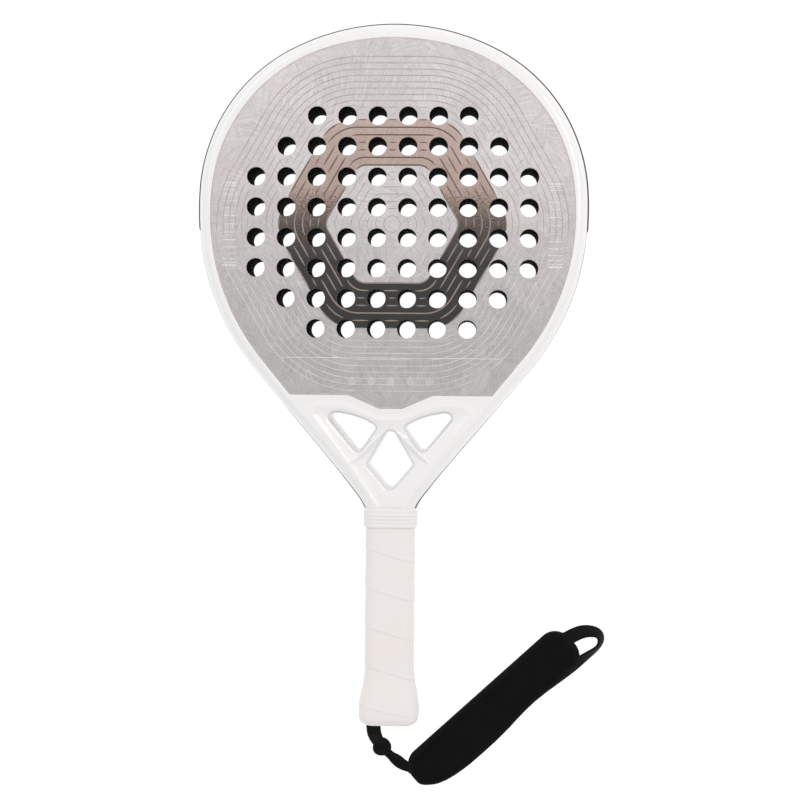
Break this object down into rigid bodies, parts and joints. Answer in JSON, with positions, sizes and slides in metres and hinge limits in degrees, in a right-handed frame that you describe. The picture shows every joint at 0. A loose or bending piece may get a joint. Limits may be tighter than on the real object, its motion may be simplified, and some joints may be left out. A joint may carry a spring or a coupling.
{
  "type": "padel racket",
  "caption": "Perforated padel racket with a foam core, open throat, wrapped handle and a padded wrist strap.",
  "frame": {"origin": "under the middle of the racket, on the surface that its back face lies on", "axes": "+X across the head, +Y from the butt to the top of the head, +Z out of the playing face, away from the surface"},
  "size_m": [0.2649, 0.4984, 0.038],
  "materials": {
    "white_lacquer": "gloss lacquer over moulded carbon fibre",
    "dark_strip": "satin",
    "face_laminate": "silver-grey fibre laminate, satin with a raised pattern",
    "black_foam": "matt cut foam",
    "pale_foam": "matt foam",
    "shell_plastic": "matt",
    "grip_white": "soft matt synthetic grip, finely grained",
    "cap_white": "soft matt",
    "collar_white": "satin rubber",
    "tape_white": "thin satin tape",
    "pin_steel": "brushed",
    "black_webbing": "woven narrow webbing",
    "cuff_black": "neoprene with a knitted face",
    "binding_black": "woven edge binding"
  },
  "bodies": {
    "root": {"frame_tube": "white_lacquer", "side_strip": "dark_strip", "throat_bridge": "white_lacquer", "foam_core": "black_foam", "face_sheet_back": "face_laminate", "face_sheet_front": "face_laminate", "handle_spacer": "pale_foam", "handle_shell_front": "shell_plastic", "handle_shell_back": "shell_plastic", "base_grip": "grip_white", "overgrip": "grip_white", "finishing_tape": "tape_white", "collar": "collar_white", "butt_cap": "cap_white", "strap_anchor_pin": "pin_steel", "cap_staples": "pin_steel", "strap_webbing": "black_webbing", "strap_knot": "black_webbing", "strap_fold": "black_webbing", "cuff_lining": "cuff_black", "cuff_pad": "cuff_black", "cuff_binding": "binding_black"}
  },
  "joints": []
}
